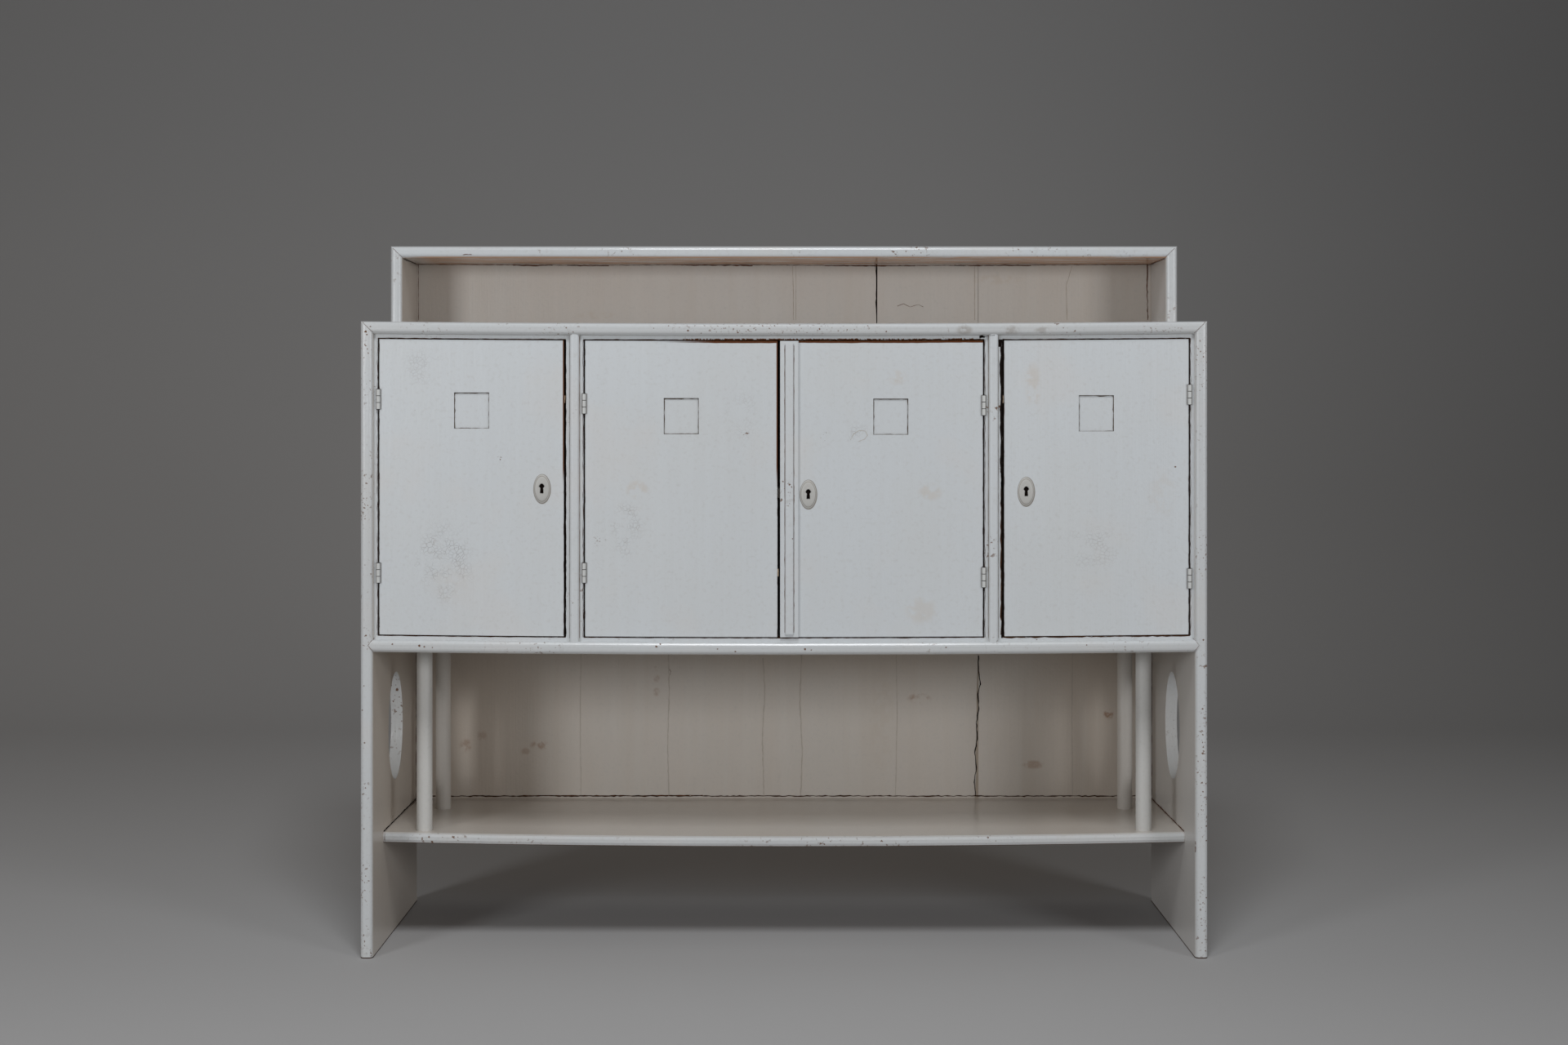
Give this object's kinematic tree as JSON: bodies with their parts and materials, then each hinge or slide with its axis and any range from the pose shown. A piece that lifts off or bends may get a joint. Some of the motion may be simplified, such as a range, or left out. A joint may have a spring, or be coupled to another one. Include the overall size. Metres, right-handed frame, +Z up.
{
  "type": "sideboard cabinet",
  "caption": "Painted wooden sideboard with hinged doors, an open hutch on top, and an open bay with round posts over a low shelf.",
  "frame": {"origin": "middle of the overall width and depth, at floor level", "axes": "+X along the front to the right, +Y from the front to the back, +Z up; the doors face -Y"},
  "size_m": [1.5, 0.48, 1.285],
  "materials": {
    "white_paint": "aged satin oil paint",
    "aged_inner_paint": "warm aged paint, matt",
    "bare_wood": "bare brown softwood",
    "painted_fittings": "steel fittings painted over with the doors",
    "steel": "dull aged steel"
  },
  "bodies": {
    "root": {"back_board_1": "aged_inner_paint", "back_board_2": "aged_inner_paint", "back_board_3": "aged_inner_paint", "back_board_4": "aged_inner_paint", "back_board_5": "aged_inner_paint", "back_board_6": "aged_inner_paint", "back_board_7": "aged_inner_paint", "back_board_8": "aged_inner_paint", "back_board_9": "aged_inner_paint", "case_bottom": "white_paint", "case_top": "white_paint", "door_stops": "aged_inner_paint", "gap_shims": "bare_wood", "hinge_frame_leaves": "painted_fittings", "hutch_top": "white_paint", "inner_shelf_centre": "aged_inner_paint", "inner_shelf_left": "aged_inner_paint", "inner_shelf_right": "aged_inner_paint", "lower_shelf": "white_paint", "opening_strips_centre": "white_paint", "opening_strips_left": "white_paint", "opening_strips_right": "white_paint", "partition_left": "white_paint", "partition_right": "white_paint", "post_front_left": "white_paint", "post_front_right": "white_paint", "post_rear_left": "white_paint", "post_rear_right": "white_paint", "shelf_bearers": "aged_inner_paint", "side_front_board_left": "white_paint", "side_front_board_right": "white_paint", "side_rear_board_left": "white_paint", "side_rear_board_right": "white_paint", "strike_plates": "steel"},
    "outer_left_door": {"door_outer_left": "white_paint", "hinge_leaves_outer_left": "painted_fittings", "lock_case_outer_left": "steel", "escutcheon_outer_left": "painted_fittings"},
    "inner_left_door": {"door_inner_left": "white_paint", "hinge_leaves_inner_left": "painted_fittings", "strike_plate_meeting": "steel", "slide_bolt_plates": "steel", "meeting_shim": "bare_wood"},
    "inner_right_door": {"door_inner_right": "white_paint", "hinge_leaves_inner_right": "painted_fittings", "lock_case_inner_right": "steel", "escutcheon_inner_right": "painted_fittings", "astragal_strip": "white_paint", "astragal_bead": "white_paint"},
    "outer_right_door": {"door_outer_right": "white_paint", "hinge_leaves_outer_right": "painted_fittings", "lock_case_outer_right": "steel", "escutcheon_outer_right": "painted_fittings"},
    "outer_left_lock_bolt": {"lock_bolt_outer_left": "steel"},
    "inner_right_lock_bolt": {"lock_bolt_inner_right": "steel"},
    "outer_right_lock_bolt": {"lock_bolt_outer_right": "steel"},
    "top_slide_bolt": {"slide_bolt_top": "steel"},
    "bottom_slide_bolt": {"slide_bolt_bottom": "steel"}
  },
  "joints": [
    {"name": "outer_left_door_hinge", "type": "hinge", "parent": "root", "child": "outer_left_door", "pos_m": [-0.7193, -0.2314, 0.835], "axis": [0, 0, -1], "range_deg": [0, 110]},
    {"name": "inner_left_door_hinge", "type": "hinge", "parent": "root", "child": "inner_left_door", "pos_m": [-0.3543, -0.2314, 0.835], "axis": [0, 0, -1], "range_deg": [0, 110]},
    {"name": "inner_right_door_hinge", "type": "hinge", "parent": "root", "child": "inner_right_door", "pos_m": [0.3543, -0.2314, 0.835], "axis": [0, 0, 1], "range_deg": [0, 110]},
    {"name": "outer_right_door_hinge", "type": "hinge", "parent": "root", "child": "outer_right_door", "pos_m": [0.7193, -0.2314, 0.835], "axis": [0, 0, 1], "range_deg": [0, 110]},
    {"name": "outer_left_lock_throw", "type": "slide", "parent": "outer_left_door", "child": "outer_left_lock_bolt", "axis": [1, 0, 0], "range_m": [0, 0.008]},
    {"name": "inner_right_lock_throw", "type": "slide", "parent": "inner_right_door", "child": "inner_right_lock_bolt", "axis": [-1, 0, 0], "range_m": [0, 0.0095]},
    {"name": "outer_right_lock_throw", "type": "slide", "parent": "outer_right_door", "child": "outer_right_lock_bolt", "axis": [-1, 0, 0], "range_m": [0, 0.008]},
    {"name": "top_slide_bolt_throw", "type": "slide", "parent": "inner_left_door", "child": "top_slide_bolt", "axis": [0, 0, 1], "range_m": [0, 0.0095]},
    {"name": "bottom_slide_bolt_throw", "type": "slide", "parent": "inner_left_door", "child": "bottom_slide_bolt", "axis": [0, 0, -1], "range_m": [0, 0.0095]}
  ]
}
